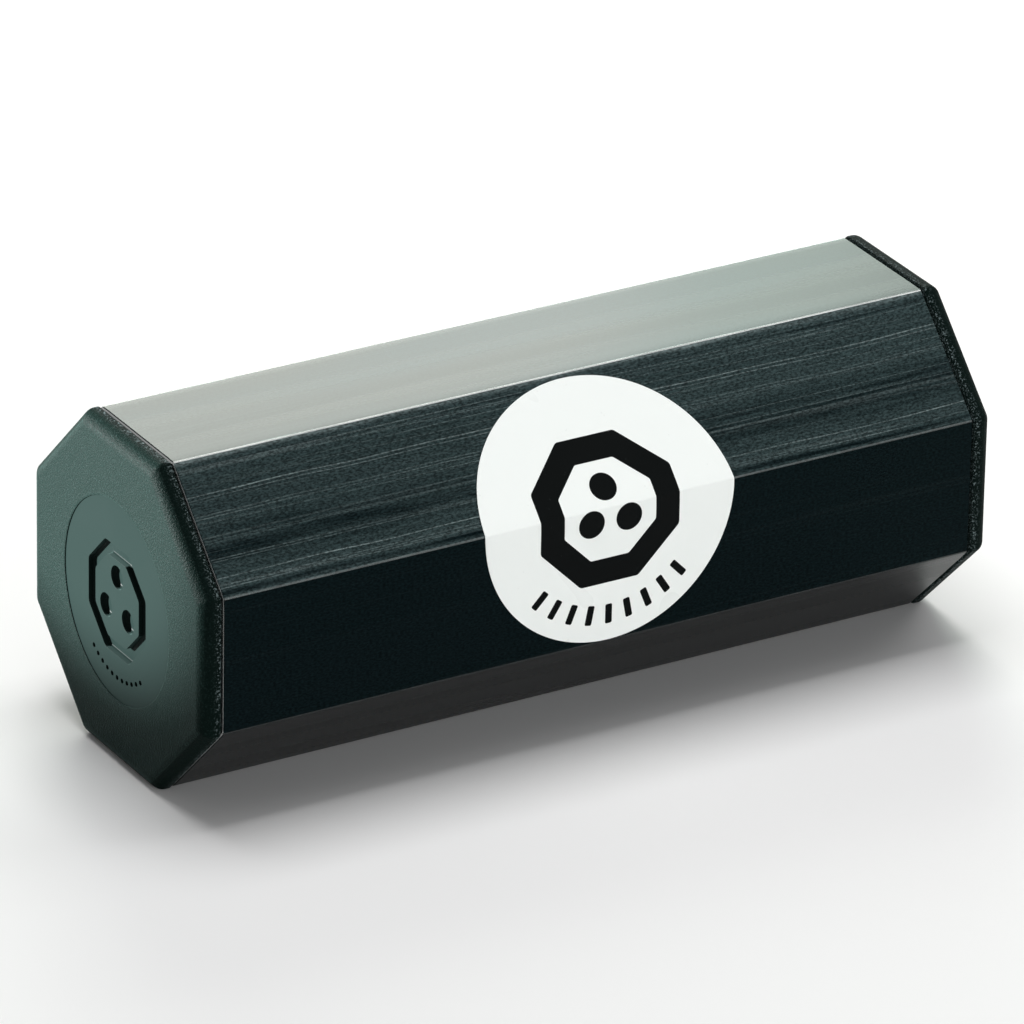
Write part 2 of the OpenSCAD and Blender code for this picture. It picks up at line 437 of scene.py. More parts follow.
def mix_colour(tree, factor, first, second):
    """Mixes two colours, each a socket or its red, green and blue"""
    node = add_node(tree, "ShaderNodeMix", data_type="RGBA")
    for name, value in (("Factor", factor), ("A", first), ("B", second)):
        socket = next(s for s in node.inputs if s.name == name and s.enabled)
        if isinstance(value, bpy.types.NodeSocket):
            tree.links.new(value, socket)
        else:
            socket.default_value = rgba(value)
    return next(s for s in node.outputs if s.enabled)


def noise(tree, vector, scale, detail=2.0, roughness=0.5):
    """Noise over a vector in millimetres, with a scale for each axis"""
    stretched = add_node(
        tree, "ShaderNodeMapping", {"Vector": vector, "Scale": scale}
    ).outputs["Vector"]
    node = add_node(
        tree,
        "ShaderNodeTexNoise",
        {"Vector": stretched, "Scale": 1.0, "Detail": detail, "Roughness": roughness},
    )
    return node.outputs["Fac"]


def shader_group(name, inputs, outputs, build):
    """A node group, built once, from its inputs' and outputs' names"""
    if name in bpy.data.node_groups:
        return bpy.data.node_groups[name]
    tree = bpy.data.node_groups.new(name, "ShaderNodeTree")
    for socket_name, kind, default in inputs:
        socket = tree.interface.new_socket(socket_name, in_out="INPUT", socket_type=kind)
        if default is not None:
            socket.default_value = default
    for socket_name in outputs:
        tree.interface.new_socket(socket_name, in_out="OUTPUT", socket_type="NodeSocketFloat")
    entry = tree.nodes.new("NodeGroupInput")
    leave = tree.nodes.new("NodeGroupOutput")
    for socket_name, socket in build(tree, entry.outputs).items():
        tree.links.new(socket, leave.inputs[socket_name])
    return tree


def use_group(tree, group, values):
    return add_node(tree, "ShaderNodeGroup", values, node_tree=group).outputs


# Lines and bands along the upper sloping flats. The thin lines are the die's; the light and dull
# bands within 2 mm of the corners are painted highlight and shade beside the rounded strips, and
# the widest band is a duller zone. Each has its height above the flat's middle and half its width,
# both in millimetres, and its strength, below 0 where it is dull
DIE_LINES_AND_PAINTED_BANDS = (
    (-11.4, 0.8, -0.9),
    (-10.5, 0.18, 0.5),
    (-9.6, 1.3, 0.22),
    (-8.75, 0.2, 0.9),
    (-7.1, 0.2, 0.3),
    (-3.6, 7.0, -0.75),
    (-2.6, 0.5, 0.4),
    (1.75, 0.2, 0.6),
    (2.25, 0.24, 0.45),
    (5.15, 0.18, 0.65),
    (5.8, 0.2, 0.9),
    (7.6, 2.2, 0.08),
    (9.9, 0.18, 0.4),
    (10.5, 0.5, -0.6),
    (12.0, 1.0, 0.6),
)


def drawn_lines_group():
    """Lines that the die and the brush left along X, painted highlight and shade bands beside the
    upper corners, and the metal's fine mottle
    """

    def build(tree, given):
        vector = given["Vector"]
        place = split_vector(tree, vector)
        # Height up a sloping flat, alike on the front and the back one
        up_slope = math_node(tree, "SUBTRACT", place["Z"], unsigned(tree, place["Y"]))
        up_slope = times(tree, up_slope, math.sqrt(0.5))
        waver = remap(tree, noise(tree, vector, (0.03, 0.0, 0.0), 1.0), 0.3, 0.7, -0.2, 0.2)
        up_slope = math_node(tree, "ADD", up_slope, waver)
        die_mark_and_painted_band = 0.0
        for height, half_width, strength in DIE_LINES_AND_PAINTED_BANDS:
            away = unsigned(tree, math_node(tree, "SUBTRACT", up_slope, height))
            line = remap(tree, away, 0.0, half_width, strength, 0.0)
            die_mark_and_painted_band = math_node(tree, "ADD", line, die_mark_and_painted_band)
        worn = remap(tree, noise(tree, vector, (0.05, 0.8, 0.8)), 0.3, 0.7, 0.55, 1.1)
        die_mark_and_painted_band = times(tree, die_mark_and_painted_band, worn)
        wander = noise(tree, vector, (0.0015, 0.34, 0.34))
        from_line = unsigned(tree, math_node(tree, "SUBTRACT", wander, 0.5))
        thin = remap(tree, from_line, 0.002, 0.014, 1.0, 0.0)
        fade = remap(tree, noise(tree, vector, (0.012, 0.5, 0.5), 1.0), 0.35, 0.65, 0.35, 1.0)
        die = times(tree, thin, fade)
        brush = noise(tree, vector, (0.025, 4.0, 4.0), 3.0, 0.65)
        rubbed_and_glint = remap(tree, brush, 0.5, 0.85, 0.0, 0.5)
        mottle = noise(tree, vector, (1.7, 3.6, 3.6), 2.0, 0.6)
        band = noise(tree, vector, (0.004, 0.18, 0.18), 1.0)
        return {
            "Light": remap(tree, die_mark_and_painted_band, 0.0, 1.0),
            "Dull": remap(tree, die_mark_and_painted_band, 0.0, -1.0),
            "Hairlines": math_node(tree, "MAXIMUM", die, rubbed_and_glint),
            "Band": remap(tree, band, 0.3, 0.7),
            "Mottle": remap(tree, mottle, 0.3, 0.7, -1.0, 1.0),
            "Height": math_node(tree, "ADD", times(tree, die, 0.6), brush),
        }

    return shader_group(
        "Drawn lines",
        [("Vector", "NodeSocketVector", None)],
        ["Light", "Dull", "Hairlines", "Band", "Mottle", "Height"],
        build,
    )


def edge_wear_and_highlight_group():
    """Where the tube's sawn ends have lost their black, and where its round corners show bare
    metal, partly worn and partly a painted highlight that is strongest on the upper corners
    """

    def build(tree, given):
        # The normal's angle round X, counted in flats, is whole on a flat and half-way at a corner
        facing = split_vector(tree, given["Normal"])
        turn = math_node(tree, "ARCTAN2", facing["Z"], facing["Y"])
        turn = math_node(tree, "DIVIDE", turn, SIDE_ANGLE)
        off_flat = math_node(tree, "SUBTRACT", turn, math_node(tree, "ROUND", turn))
        patchy = noise(tree, given["Vector"], (0.07, 0.4, 0.4), 3.0, 0.6)
        corner = remap(tree, unsigned(tree, off_flat), 0.08, 0.32)
        place = split_vector(tree, given["Vector"])
        # Painted highlight: the corners' bare metal is full at the top and faint at the lower
        # corners
        corner = times(tree, corner, remap(tree, place["Z"], 10.0, 28.0, 0.12, 1.0))
        corner = times(tree, corner, remap(tree, patchy, 0.3, 0.7, 0.6, 1.0))
        along = unsigned(tree, place["X"])
        return {
            "Corner": corner,
            "Sawn": math_node(tree, "GREATER_THAN", along, given["Sawn From"]),
        }

    return shader_group(
        "Edge wear",
        [
            ("Vector", "NodeSocketVector", None),
            ("Normal", "NodeSocketVector", None),
            ("Sawn From", "NodeSocketFloat", 73.0),
        ],
        ["Corner", "Sawn"],
        build,
    )


def moulded_grain_group():
    """Spark-eroded grain of a moulding tool"""

    def build(tree, given):
        coarse_and_lit_slope = noise(tree, given["Vector"], (3.2, 3.2, 3.2), 2.0, 0.6)
        fine = noise(tree, given["Vector"], (7.0, 7.0, 7.0))
        return {
            "Height": math_node(tree, "ADD", coarse_and_lit_slope, times(tree, fine, 0.5)),
            "Peaks": remap(tree, coarse_and_lit_slope, 0.5, 0.75),
            "Tips": remap(tree, coarse_and_lit_slope, 0.52, 0.70),
        }

    return shader_group(
        "Moulded grain",
        [("Vector", "NodeSocketVector", None)],
        ["Height", "Peaks", "Tips"],
        build,
    )


def handling_group():
    """Smudges and fine dust from handling"""

    def build(tree, given):
        smudge = noise(tree, given["Vector"], (0.05, 0.08, 0.08), 4.0, 0.6)
        specks = noise(tree, given["Vector"], (1.1, 1.1, 1.1), 1.0)
        return {
            "Smudge": remap(tree, smudge, 0.4, 0.7),
            "Specks": remap(tree, specks, 0.74, 0.80),
        }

    return shader_group(
        "Handling marks", [("Vector", "NodeSocketVector", None)], ["Smudge", "Specks"], build
    )


def start_material(name):
    """A new material, its tree, its shader, and the place on it in millimetres from the axis"""
    material = bpy.data.materials.new(name)
    material.use_nodes = True
    tree = material.node_tree
    shader = tree.nodes["Principled BSDF"]
    place = add_node(tree, "ShaderNodeTexCoord").outputs["Object"]
    centred = add_node(
        tree,
        "ShaderNodeMapping",
        {"Vector": place, "Location": (0, 0, -AXIS.z / MM), "Scale": (1 / MM, 1 / MM, 1 / MM)},
    ).outputs["Vector"]
    return material, tree, shader, centred


def bump(tree, height, depth):
    """Normal from a height, with the depth in metres"""
    return add_node(
        tree, "ShaderNodeBump", {"Height": height, "Distance": depth, "Strength": 1.0}
    ).outputs["Normal"]


def link_looks(tree, shader, base, roughness, height, depth):
    """Gives a shader its colour and roughness, and the normal of a height"""
    tree.links.new(base, shader.inputs["Base Color"])
    tree.links.new(roughness, shader.inputs["Roughness"])
    tree.links.new(bump(tree, height, depth), shader.inputs["Normal"])


def set_sockets(shader, **values):
    for name, value in values.items():
        shader.inputs[name.replace("_", " ")].default_value = value


def anodised_material(colours, sizes):
    material, tree, shader, place = start_material("black_anodised_aluminium")
    normal = add_node(tree, "ShaderNodeNewGeometry").outputs["Normal"]
    lines = use_group(tree, drawn_lines_group(), {"Vector": place})
    sawn_from = (TUBE_END - 0.6 * sizes.end_chamfer) / MM
    wear_and_highlight = use_group(
        tree, edge_wear_and_highlight_group(), {"Vector": place, "Normal": normal, "Sawn From": sawn_from}
    )

    # Painted light: the two upper sloping flats get a lighter black than the rest, and their dull
    # die marks and brush hairlines are stronger, so these flats render lighter, as where they catch
    # the light
    facing = split_vector(tree, normal)
    coarse_and_lit_slope = remap(tree, times(tree, unsigned(tree, facing["Y"]), facing["Z"]), 0.05, 0.45)

    # Painted reflection: a warmer tint here and there on the level flats, standing in for a warm
    # reflection on the top flat
    hue = remap(tree, noise(tree, place, (0.008, 0.07, 0.07), 1.0), 0.4, 0.6)
    level = remap(tree, unsigned(tree, facing["Z"]), 0.9, 0.99)
    painted_tint = mix_colour(tree, times(tree, hue, level), colours.anodised, colours.warm_reflection)
    lit_slope = mix_colour(tree, coarse_and_lit_slope, painted_tint, colours.lit_slope)
    dull = math_node(tree, "MAXIMUM", lines["Dull"], times(tree, lines["Band"], 0.25))
    lit_slope = mix_colour(tree, times(tree, dull, coarse_and_lit_slope), lit_slope, colours.anodised)
    hairlines = times(tree, lines["Hairlines"], between(tree, coarse_and_lit_slope, 0.02, 0.45))
    # Light lines: the die's and the brush's, and the painted highlight bands by the corners
    drawn = math_node(tree, "MAXIMUM", lines["Light"], hairlines)
    base = mix_colour(tree, drawn, lit_slope, colours.drawn)
    speckle = times(tree, lines["Mottle"], between(tree, coarse_and_lit_slope, 0.5, 0.55))
    base = add_node(
        tree,
        "ShaderNodeVectorMath",
        {0: base, "Scale": math_node(tree, "ADD", speckle, 1.0)},
        operation="SCALE",
    ).outputs["Vector"]
    # Bare metal on the corners, partly wear and partly a painted highlight
    base = mix_colour(tree, times(tree, wear_and_highlight["Corner"], 0.8), base, colours.bare_and_highlight)
    base = mix_colour(tree, times(tree, wear_and_highlight["Sawn"], 0.45), base, colours.bare_and_highlight)
    roughness = between(tree, lines["Band"], 0.265, 0.285)
    link_looks(tree, shader, base, roughness, lines["Height"], BRUSH_DEPTH)
    # The brush ran along X, so the metal is rougher across it. The slant defines it at the ends
    across = add_node(
        tree, "ShaderNodeVectorMath", {0: normal, 1: (1, 0.02, 0.01)}, operation="CROSS_PRODUCT"
    )
    tree.links.new(across.outputs["Vector"], shader.inputs["Tangent"])
    set_sockets(shader, Metallic=1.0, Anisotropic=0.6)
    return material


def plastic_material(colours, sizes, name, sheen):
    material, tree, shader, place = start_material(name)
    grain = use_group(tree, moulded_grain_group(), {"Vector": place})
    marks = use_group(tree, handling_group(), {"Vector": place})

    # The disc in the cap's face is smooth, and everything else has the mould's grain
    parts = split_vector(tree, place)
    squares = [times(tree, parts[axis], parts[axis]) for axis in "YZ"]
    reach = math_node(tree, "SQRT", math_node(tree, "ADD", *squares))
    grained = math_node(tree, "GREATER_THAN", reach, sizes.disc_radius / MM - 0.05)

    base = mix_colour(tree, grained, colours.disc, colours.plastic)
    peaks = times(tree, grain["Peaks"], times(tree, grained, 0.35))
    base = mix_colour(tree, peaks, base, colours.grain)

    # Painted glints: the tips of the grain are coloured bright around the flange's sides
    along = unsigned(tree, parts["X"])
    on_side = remap(tree, along, TUBE_END / MM + GLINT_TO, TUBE_END / MM + GLINT_FROM)
    base = mix_colour(tree, times(tree, grain["Tips"], on_side), base, colours.rubbed_and_glint)
    roughness = between(tree, grained, 0.34, 0.44)
    roughness = math_node(tree, "ADD", roughness, times(tree, marks["Smudge"], 0.06))
    height = times(tree, grain["Height"], between(tree, grained, 0.02, 1.0))
    link_looks(tree, shader, base, roughness, height, GRAIN_DEPTH)
    set_sockets(
        shader,
        Specular_IOR_Level=0.015,
        Sheen_Weight=sheen,
        Sheen_Roughness=0.3,
        Sheen_Tint=rgba(colours.sheen_tint),
    )
    return material


def vinyl_material(colours):
    material, tree, shader, place = start_material("white_vinyl")
    marks = use_group(tree, handling_group(), {"Vector": place})
    soft = noise(tree, place, (0.05, 0.05, 0.05), 1.0)
    shade = remap(tree, soft, 0.2, 0.8, 0.0, 0.008)
    base = mix_colour(tree, shade, colours.vinyl, VINYL_SHADE)
    base = mix_colour(tree, times(tree, marks["Specks"], 0.12), base, VINYL_DUST)
    peel = noise(tree, place, (0.5, 0.5, 0.5))
    roughness = remap(tree, soft, 0.2, 0.8, 0.27, 0.31)
    link_looks(tree, shader, base, roughness, peel, PEEL_DEPTH)
    return material


def ink_material(colours):
    material, tree, shader, place = start_material("black_ink")
    marks = use_group(tree, handling_group(), {"Vector": place})
    base = mix_colour(tree, times(tree, marks["Specks"], 0.1), colours.ink, INK_DUST)
    peel = noise(tree, place, (0.5, 0.5, 0.5))
    roughness = between(tree, marks["Smudge"], 0.16, 0.26)
    link_looks(tree, shader, base, roughness, peel, PEEL_DEPTH)
    set_sockets(shader, Specular_IOR_Level=0.05)
    return material


def steel_material(colours):
    material, tree, shader, place = start_material("bright_steel")
    fine = noise(tree, place, (3.0, 3.0, 3.0), 3.0, 0.6)
    film = noise(tree, place, (0.4, 0.4, 0.4))
    film = remap(tree, film, 0.35, 0.7, 0.0, 0.4)
    base = mix_colour(tree, film, colours.steel, STEEL_FILM)
    roughness = remap(tree, fine, 0.3, 0.7, 0.12, 0.24)
    link_looks(tree, shader, base, roughness, fine, POLISH_DEPTH)
    set_sockets(shader, Metallic=1.0)
    return material


# Pieces


def model_tube(sizes):
    """Open octagonal tube with polished roll-offs, round corners, its wall and chamfered ends"""
    tube = add_octagon("tube_body", TUBE_WIDTH, -TUBE_END, fill="NOTHING")
    sharp = corner_reach(TUBE_WIDTH)
    flat = TUBE_WIDTH * math.tan(HALF_SIDE_ANGLE)
    with editing(tube, "EDGE"):
        extrude_edges((2 * TUBE_END, 0, 0))
        for k in range(SIDES // 2):
            across = Vector((0, math.cos(k * SIDE_ANGLE), math.sin(k * SIDE_ANGLE)))
            for side in (-1, 1):
                select_all()
                bpy.ops.mesh.bisect(
                    plane_co=AXIS + side * (flat / 2 - sizes.roll_off) * across,
                    plane_no=across,
                )
        outward_normals()
        pick("verts", lambda v: off_axis(v.co) > sharp - NEAR_CORNER)
        widen(1 - sizes.roll_off_depth / sharp)
    apply_modifier(
        tube, "SOLIDIFY", thickness=sizes.tube_wall, offset=-1, use_even_offset=True
    )
    corner = sharp - sizes.roll_off_depth
    bore_corner = corner_reach(TUBE_WIDTH - 2 * sizes.tube_wall)
    with editing(tube, "EDGE"):
        pick("edges", lambda e: along_x(e) and off_axis(e.verts[0].co) > corner - NEAR_CORNER)
        round_edges(sizes.corner_radius * math.tan(HALF_SIDE_ANGLE), 5)
        pick(
            "edges",
            lambda e: along_x(e) and abs(off_axis(e.verts[0].co) - bore_corner) < NEAR_CORNER,
        )
        round_edges(sizes.bore_radius * math.tan(HALF_SIDE_ANGLE), 4)
        pick(
            "edges",
            lambda e: not along_x(e)
            and all(abs(v.co.x) > TUBE_END - NEAR_PLANE for v in e.verts)
            and min(off_axis(v.co) for v in e.verts) > (TUBE_WIDTH - sizes.tube_wall) / 2
            and any(abs(f.normal.x) < FACING_END for f in e.link_faces),
        )
        round_edges(sizes.end_chamfer, 1)
    smooth(tube)
    return tube


class SHAKER_OT_body_tube(bpy.types.Operator):
    """Model the black anodised tube"""

    bl_idname = "shaker.body_tube"
    bl_label = "Body Tube"

    def execute(self, context):
        scene = context.scene
        tube = model_tube(scene.shaker_sizes)
        material = anodised_material(scene.shaker_colours, scene.shaker_sizes)
        dress(tube, material, "anodised_tube", "body_tube")
        return {"FINISHED"}


def model_cap_blank(sizes):
    """Flange, end plate and plug of the left cap, without its disc"""
    outer = CAP_LOW.x
    inner = -TUBE_END - sizes.shadow_gap
    plug_end = CAP_HIGH.x
    bore = TUBE_WIDTH - 2 * sizes.tube_wall
    land = bore + 2 * LAND_REACH * (sizes.tube_wall - sizes.end_chamfer)
    plug = bore - 2 * sizes.plug_clearance
    hollow = plug - 2 * sizes.plug_wall
    cap = add_octagon("end_cap", FLANGE_WIDTH, inner, FACING_LEFT, fill="NOTHING")
    with editing(cap, "EDGE"):
        round_corners(sizes.flange_corner * math.tan(HALF_SIDE_ANGLE), 6)
        # Out from the shadow gap to the face: lip, straight rim and round outer edge
        select_all()
        lip = FLANGE_WIDTH - 2 * sizes.lip_radius
        widen(lip / FLANGE_WIDTH)
        width = sweep_arc(lip, sizes.lip_radius, 3, outward=True)
        straight = abs(outer - inner) - sizes.lip_radius - sizes.edge_radius
        step_ring(-straight, width, width)
        sweep_arc(width, sizes.edge_radius, 10, outward=False)
        bpy.ops.mesh.edge_face_add()
        # In from the flange: the land against the tube's end, the plug, its lead-in and its hollow
        pick("edges", lambda e: all(v.co.x > inner - NEAR_PLANE for v in e.verts))
        step_ring(0, lip, land)
        step_ring(sizes.shadow_gap, land, land)
        step_ring(0, land, plug)
        straight = plug_end - sizes.plug_lead_in + TUBE_END
        step_ring(straight, plug, plug)
        step_ring(sizes.plug_lead_in, plug, plug - 2 * sizes.plug_lead_in)
        step_ring(0, plug - 2 * sizes.plug_lead_in, hollow)
        step_ring(outer + sizes.plate_wall - plug_end, hollow, hollow)
        bpy.ops.mesh.edge_face_add()
        outward_normals()
    return cap


def add_cylinder(radius, x_low, x_high, y=0.0, z=0.0, vertices=64, rounding=0.0):
    """Cylinder along X, with its place given from the axis and its inner end rounded"""
    deselect_all()
    bpy.ops.mesh.primitive_cylinder_add(
        vertices=vertices,
        radius=radius,
        depth=x_high - x_low,
        location=((x_low + x_high) / 2, AXIS.y + y, AXIS.z + z),
        rotation=(0, math.pi / 2, 0),
    )
    apply_place()
    cylinder = bpy.context.object
    if rounding:
        with editing(cylinder, "EDGE"):
            pick("edges", lambda e: all(v.co.x > x_high - NEAR_PLANE for v in e.verts))
            round_edges(rounding, 4)
    return cylinder


def model_ring_cutter(sizes, x_low, x_high):
    """Octagonal ring that cuts the groove in the cap's face"""
    ring = add_octagon("ring_cutter", sizes.ring_width, x_low, fill="NOTHING")
    inner = sizes.ring_width - 2 * sizes.ring_groove
    with editing(ring, "EDGE"):
        round_corners(sizes.flange_corner * math.tan(HALF_SIDE_ANGLE), 4)
        select_all()
        extrude_edges((0, 0, 0))
        widen(inner / sizes.ring_width)
        bpy.ops.mesh.select_mode(type="FACE")
        select_all()
        extrude((x_high - x_low, 0, 0))
        outward_normals()
        pick(
            "edges",
            lambda e: all(v.co.x > x_high - NEAR_PLANE for v in e.verts)
            and any(abs(f.normal.x) < FACING_END for f in e.link_faces),
        )
        round_edges(GROOVE_ROUNDING, 3)
    return ring


def model_disc_cutter(sizes, before, face, floor):
    """Shallow cutter for the disc in the cap's face, with a sloping rim"""
    cutter = add_cylinder(sizes.disc_radius, face + sizes.disc_slope_depth, floor, vertices=160)
    wide = (sizes.disc_radius + sizes.disc_slope) / sizes.disc_radius
    with editing(cutter):
        pick("faces", lambda f: f.normal.x < -FACING_END)
        extrude((-sizes.disc_slope_depth, 0, 0))
        widen(wide)
        extrude((before - face, 0, 0))
    return cutter


def model_left_cap(sizes):
    cap = model_cap_blank(sizes)
    face = CAP_LOW.x
    before = face - OVERRUN
    floor = face + sizes.disc_depth
    combine(cap, model_disc_cutter(sizes, before, face, floor), "DIFFERENCE")
    deep = floor + sizes.motif_depth
    cutters = [model_ring_cutter(sizes, before, deep)]
    for k in range(BEADS):
        angle = math.pi / 2 + k * math.tau / BEADS
        cutters.append(
            add_cylinder(
                sizes.dimple_radius,
                before,
                deep,
                sizes.dimple_circle * math.cos(angle),
                sizes.dimple_circle * math.sin(angle),
                rounding=DIMPLE_ROUNDING,
            )
        )
    for k in range(DOTS):
        angle = -math.pi / 2 + DOT_SPREAD * (k / (DOTS - 1) - 0.5)
        cutters.append(
            add_cylinder(
                sizes.dot_radius,
                before,
                deep,
                sizes.dot_arc * math.cos(angle),
                sizes.dot_arc * math.sin(angle),
                vertices=20,
                rounding=DOT_ROUNDING,
            )
        )
    combine(cap, join(cutters, "motif_cutter"), "DIFFERENCE")
    combine(cap, join(add_crush_ribs(sizes), "ribs"), "UNION")
    apply_modifier(
        cap,
        "BEVEL",
        width=MOULD_EDGE,
        segments=2,
        limit_method="ANGLE",
        angle_limit=math.radians(50),
        use_clamp_overlap=True,
    )
    smooth(cap, 35)
    return cap


def add_crush_ribs(sizes):
    """Two short ribs on each flat of the plug"""
    plug = TUBE_WIDTH - 2 * sizes.tube_wall - 2 * sizes.plug_clearance
    low = -TUBE_END + sizes.plug_lead_in
    high = CAP_HIGH.x - sizes.plug_lead_in
    root = sizes.plug_wall / 2
    flat = plug * math.tan(HALF_SIDE_ANGLE)
    ribs = []
    for k in range(SIDES):
        turn = Matrix.Rotation(k * SIDE_ANGLE, 3, "X")
        for side in (-1, 1):
            offset = Vector((0, side * RIB_PLACE * flat, (plug - root + sizes.rib_height) / 2))
            deselect_all()
            bpy.ops.mesh.primitive_cube_add(
                size=1,
                location=AXIS + Vector(((low + high) / 2, 0, 0)) + turn @ offset,
                rotation=(k * SIDE_ANGLE, 0, 0),
                scale=(high - low, sizes.rib_width, root + sizes.rib_height),
            )
            apply_place()
            ribs.append(bpy.context.object)
    return ribs


def dress_cap(cap, node, face_material, edge_material, sizes):
    """The flange's round edge and sides get a shaded copy of the plastic, without the face's sheen,
    so that they render darker than the face
    """
    dress(cap, face_material, "cap_plastic", node)
    cap.data.materials.append(edge_material)
    cap.active_material_index = 1
    edge_from = FLANGE_WIDTH / 2 - sizes.edge_radius

    def on_edge(face):
        middle = face.calc_center_median()
        outside = abs(middle.x) > TUBE_END and off_axis(middle) > edge_from
        return outside and abs(face.normal.x) < FACING_END

    with editing(cap):
        pick("faces", on_edge)
        bpy.ops.object.material_slot_assign()


class SHAKER_OT_end_caps(bpy.types.Operator):
    """Model the left end cap, and turn a copy of it round for the right end"""

    bl_idname = "shaker.end_caps"
    bl_label = "End Caps"

    def execute(self, context):
        scene = context.scene
        colours = scene.shaker_colours
        sizes = scene.shaker_sizes
        face_material = plastic_material(colours, sizes, "black_moulded_plastic", FACE_SHEEN)
        # Shaded copy of the same plastic for the flange's edge, without the sheen
        edge_material = plastic_material(colours, sizes, "black_handled_plastic", 0)
        left = model_left_cap(sizes)
        left.name = "cap_left"
        make_active(left)
        bpy.ops.object.duplicate()
        right = context.object
        right.name = "cap_right"
        bpy.ops.transform.rotate(
            value=math.pi, orient_axis="Z", center_override=AXIS, orient_type="GLOBAL"
        )
        apply_place()
        dress_cap(left, "left_end_cap", face_material, edge_material, sizes)
        dress_cap(right, "right_end_cap", face_material, edge_material, sizes)
        return {"FINISHED"}


def fold_place(name, flat, sizes, lift):
    """Lays a flat outline onto the tube, folded over its edge, at a height above the metal.

    The outline is drawn in X and Y about the label's middle. Its Y runs up across the fold."""
    with editing(flat):
        pick("faces", lambda face: face.normal.z < 0)
        bpy.ops.mesh.flip_normals()
        arc = [sizes.corner_radius * math.sin(math.radians(cut)) for cut in FOLD_CUTS]
        for height in arc + [-sizes.roll_off, sizes.roll_off]:
            select_all()
            bpy.ops.mesh.bisect(
                plane_co=(0, sizes.label_drop + height, 0), plane_no=(0, 1, 0)
            )
    flat.name = name
    flat.scale = (1, math.cos(HALF_SIDE_ANGLE), 1)
    apply_place()
    fold_drop = sizes.label_drop * math.cos(HALF_SIDE_ANGLE)
    flat.rotation_euler = (math.pi / 2 - HALF_SIDE_ANGLE, 0, 0)
    up_slope = Vector((0, math.sin(HALF_SIDE_ANGLE), math.cos(HALF_SIDE_ANGLE)))
    flat.location = AXIS + TUBE_WIDTH * FOLD_DIRECTION - fold_drop * up_slope
    flat.location.x = LABEL_MIDDLE
    apply_modifier(
        flat,
        "SHRINKWRAP",
        wrap_method="PROJECT",
        use_project_z=True,
        use_negative_direction=True,
        use_positive_direction=False,
        target=bpy.data.objects["tube_body"],
        offset=lift,
    )
    make_active(flat)
    apply_place()
    return flat


def add_disc(radius, x=0.0, y=0.0, vertices=64):
    deselect_all()
    bpy.ops.mesh.primitive_circle_add(
        vertices=vertices, radius=radius, fill_type="NGON", location=(x, y, 0)
    )
    apply_place()
    return bpy.context.object


def model_label(sizes):
    disc = add_disc(LABEL_RADIUS, vertices=192)
    label = fold_place("label_sheet", disc, sizes, sizes.label_glue)
    apply_modifier(label, "SOLIDIFY", thickness=sizes.label_film, offset=1, use_even_offset=True)
    smooth(label, 40)
    return label


def draw_ring(sizes):
    """Flat octagonal ring with softened corners"""
    deselect_all()
    bpy.ops.mesh.primitive_circle_add(
        vertices=SIDES,
        radius=corner_reach(sizes.print_ring),
        fill_type="NOTHING",
        rotation=(0, 0, HALF_SIDE_ANGLE),
    )
    apply_place()
    ring = bpy.context.object
    inner = sizes.print_ring - 2 * sizes.print_stroke
    with editing(ring, "EDGE"):
        round_corners(RING_CORNER, 4)
        select_all()
        extrude_edges((0, 0, 0))
        factor = inner / sizes.print_ring
        bpy.ops.transform.resize(value=(factor, factor, 1), center_override=(0, 0, 0))
    return ring


def draw_beads(sizes):
    """Three flat beads inside the ring"""
    angles = [math.pi / 2 + k * math.tau / BEADS for k in range(BEADS)]
    return [
        add_disc(
            sizes.bead_radius,
            sizes.bead_circle * math.cos(angle),
            sizes.bead_circle * math.sin(angle),
        )
        for angle in angles
    ]


def draw_bars(sizes):
    """Arc of short bars by the label's lower rim, each pointing at its middle"""
    bars = []
    for k in range(BARS):
        angle = math.radians(270 + BAR_STEP_DEGREES * (k - BARS // 2))
        deselect_all()
        bpy.ops.mesh.primitive_plane_add(
            size=1,
            location=(sizes.bar_circle * math.cos(angle), sizes.bar_circle * math.sin(angle), 0),
            rotation=(0, 0, angle),
        )
        bar = bpy.context.object
        bar.scale = (sizes.bar_length, sizes.bar_width, 1)
        apply_place()
        with editing(bar):
            round_corners(BAR_CORNER, 4)
        bars.append(bar)
    return bars


def model_print(sizes):
    flat = join([draw_ring(sizes), *draw_beads(sizes), *draw_bars(sizes)], "label_print")
    ink = fold_place("label_print", flat, sizes, sizes.label_glue + sizes.label_film)
    apply_modifier(ink, "SOLIDIFY", thickness=sizes.ink_thickness, offset=1, use_even_offset=True)
    smooth(ink, 40)
    return ink


class SHAKER_OT_label(bpy.types.Operator):
    """Model the white vinyl label and its black print, folded over the tube's edge"""

    bl_idname = "shaker.label"
    bl_label = "Label"

    def execute(self, context):
        scene = context.scene
        label = model_label(scene.shaker_sizes)
        dress(label, vinyl_material(scene.shaker_colours), "label_vinyl", "front_label")
        ink = model_print(scene.shaker_sizes)
        dress(ink, ink_material(scene.shaker_colours), "label_vinyl")
        return {"FINISHED"}


class SHAKER_OT_shot(bpy.types.Operator):
    """Give every row of shot its bright steel"""

    bl_idname = "shaker.shot"
    bl_label = "Shot"

    def execute(self, context):
        material = steel_material(context.scene.shaker_colours)
        for name in SHOT_NODES:
            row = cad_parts[name]
            row.data.materials.clear()
            row.data.materials.append(material)
        return {"FINISHED"}


# Stage

